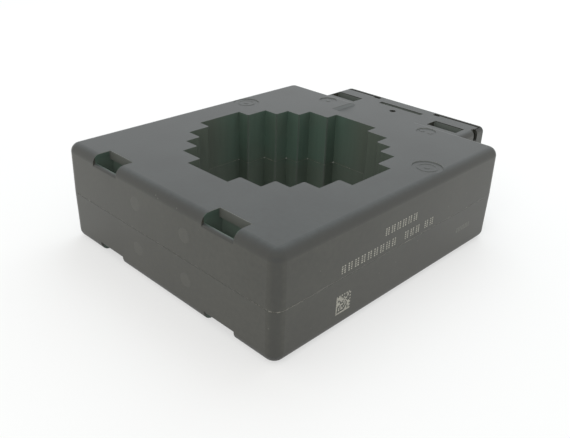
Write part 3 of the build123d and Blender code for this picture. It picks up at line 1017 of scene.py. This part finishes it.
terminalScrew = {
    "pitch": 0.8 * mm,
    "crest": 2.49 * mm,
    "root": 2.07 * mm,
    "flank": 2.6,                 # how steep the thread's sides are
    "rootFlat": 0.8,              # how wide its root is
    "rows": 12,                   # per turn
    "sides": 48,
    "tipBevel": 0.7 * mm,
    "neck": 0.5 * mm,             # plain part under the head
    "inHead": 0.1 * mm,           # how far the shank goes into the head
    "shankMargin": 0.02 * mm,
    "footMargin": 0.01 * mm,
    "holeMargin": 0.3 * mm,
}


# Radius of a right-hand thread at a place along the screw
def threadRadius(along, turn, tip, end):
    screw = terminalScrew
    phase = (along / screw["pitch"] - turn / (2 * math.pi)) % 1
    wave = min(1, max(0, screw["flank"] * abs(2 * phase - 1) - screw["rootFlat"]))
    radius = screw["root"] + (screw["crest"] - screw["root"]) * wave
    if along > end - screw["neck"]:
        radius = screw["root"]
    return min(radius, screw["root"] - screw["tipBevel"] + (along - tip))


# The CAD screw's head with a shank that has a real thread
def threadedScrew(side):
    screw = terminalScrew
    name = f"terminal_screw_{side}"
    low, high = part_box(name)
    axis = Vector([(a + b) / 2 for a, b in zip(low, high)])
    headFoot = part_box(f"spring_washer_{side}")[1].x

    def atHole(vert):
        reach = (vert.co - axis).yz.length
        onFoot = abs(vert.co.x - headFoot) < screw["footMargin"]
        return onFoot and reach < screw["crest"] + screw["holeMargin"]

    # the CAD shank goes, and the hole that it leaves in the head is filled
    build = bmesh.new()
    build.from_mesh(nodes[name].data)
    shankEnd = headFoot - screw["shankMargin"]
    shank = [face for face in build.faces if face.calc_center_median().x < shankEnd]
    bmesh.ops.delete(build, geom=shank, context="FACES")
    hole = [edge for edge in build.edges if edge.is_boundary and all(map(atHole, edge.verts))]
    bmesh.ops.holes_fill(build, edges=hole)

    length = headFoot + screw["inHead"] - low.x
    count = math.ceil(length / screw["pitch"] * screw["rows"])
    loops = []
    for i in range(count + 1):
        x = low.x + length * i / count
        loop = []
        for k in range(screw["sides"]):
            turn = 2 * math.pi * k / screw["sides"]
            radius = threadRadius(x, turn, low.x, headFoot)
            y, z = axis.y + radius * math.cos(turn), axis.z + radius * math.sin(turn)
            loop.append(build.verts.new((x, y, z)))
        loops.append(loop)
    for here, there in zip(loops, loops[1:]):
        for face in bridge(build, here, there):
            face.smooth = True
    build.faces.new(loops[0][::-1])
    build.faces.new(loops[-1])
    bmesh.ops.recalc_face_normals(build, faces=build.faces)
    piece = newPiece(f"threadedScrew_{side}", build, materials["zinc_steel"],
                     f"screw_{side}")
    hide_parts(name)


threadedScrew("s1")
threadedScrew("s2")
print("screws threaded")


studio = {
    "white": (1, 1, 1, 1),
    "floorSize": 3.0,
    "floorDrop": 0.05 * mm,
    "floorColour": (0.86, 0.86, 0.86, 1),
    "floorGlow": 0.55,            # share of plain white in the floor, direct or mirrored
    "skyStrength": 0.78,
    "skyColour": (1.0, 1.0, 0.97, 1),
    "lampSize": 0.8,
    # place, power and colour
    "key": ((0.5, 0.25, 0.65), 4.0, (0.86, 0.95, 1.0)),
    "fill": ((-0.9, -0.4, 0.6), 3.6, (1.0, 0.99, 0.94)),
}


def studioFloor():
    finish = newFinish("studioFloor")
    diffuse = finish.value("ShaderNodeBsdfDiffuse", values={"Color": studio["floorColour"]})
    white = finish.value("ShaderNodeEmission", values={"Color": studio["white"], "Strength": 1})
    glow = finish.inView() * studio["floorGlow"]
    values = {0: glow, 1: diffuse, 2: white}
    return finish.close(finish.value("ShaderNodeMixShader", values=values))


far = studio["floorSize"] / 2
corners = [(-far, -far, 0), (far, -far, 0), (far, far, 0), (-far, far, 0)]
floorMesh = bpy.data.meshes.new("floor")
floorMesh.from_pydata(corners, [], [(0, 1, 2, 3)])
floorMesh.materials.append(studioFloor())
floor = bpy.data.objects.new("floor", floorMesh)
floor.location.z = -studio["floorDrop"]
bpy.context.scene.collection.objects.link(floor)

world = bpy.data.worlds.new("studio")
bpy.context.scene.world = world
sky = Finish(world)
white = sky.value("ShaderNodeBackground", values={"Color": studio["white"], "Strength": 1})
values = {"Color": studio["skyColour"], "Strength": studio["skyStrength"]}
soft = sky.value("ShaderNodeBackground", values=values)
both = sky.value("ShaderNodeMixShader", values={0: sky.inView(), 1: soft, 2: white})
sky.close(both, "ShaderNodeOutputWorld")


def softLamp(name):
    place, power, colour = studio[name]
    lamp = bpy.data.lights.new(name, "AREA")
    lamp.energy = power
    lamp.color = colour
    lamp.size = studio["lampSize"]
    holder = bpy.data.objects.new(name, lamp)
    holder.visible_glossy = False
    holder.location = place
    holder.rotation_euler = (-Vector(place)).to_track_quat("-Z", "Y").to_euler()
    bpy.context.scene.collection.objects.link(holder)


softLamp("key")
softLamp("fill")

# Camera fitted to the case's outline and the window's corners
viewpoint = {
    "place": Vector((-175.894, -167.203, 134.653)) * mm,
    "aim": Vector((-17.92, -16.541, 20.0)) * mm,
    "roll": math.radians(2.1295),
    "lens": 42.273,
    "sensor": 36.0,
    "clipStart": 0.01,
}
lens = bpy.data.cameras.new("camera")
lens.lens = viewpoint["lens"]
lens.sensor_width = viewpoint["sensor"]
lens.clip_start = viewpoint["clipStart"]
camera = bpy.data.objects.new("camera", lens)
bpy.context.scene.collection.objects.link(camera)
look = (viewpoint["aim"] - viewpoint["place"]).to_track_quat("-Z", "Y").to_matrix().to_4x4()
roll = Matrix.Rotation(viewpoint["roll"], 4, "Z")
camera.matrix_world = Matrix.Translation(viewpoint["place"]) @ look @ roll
bpy.context.scene.camera = camera
bpy.context.scene.view_settings.view_transform = "Standard"
print("studio and camera set")
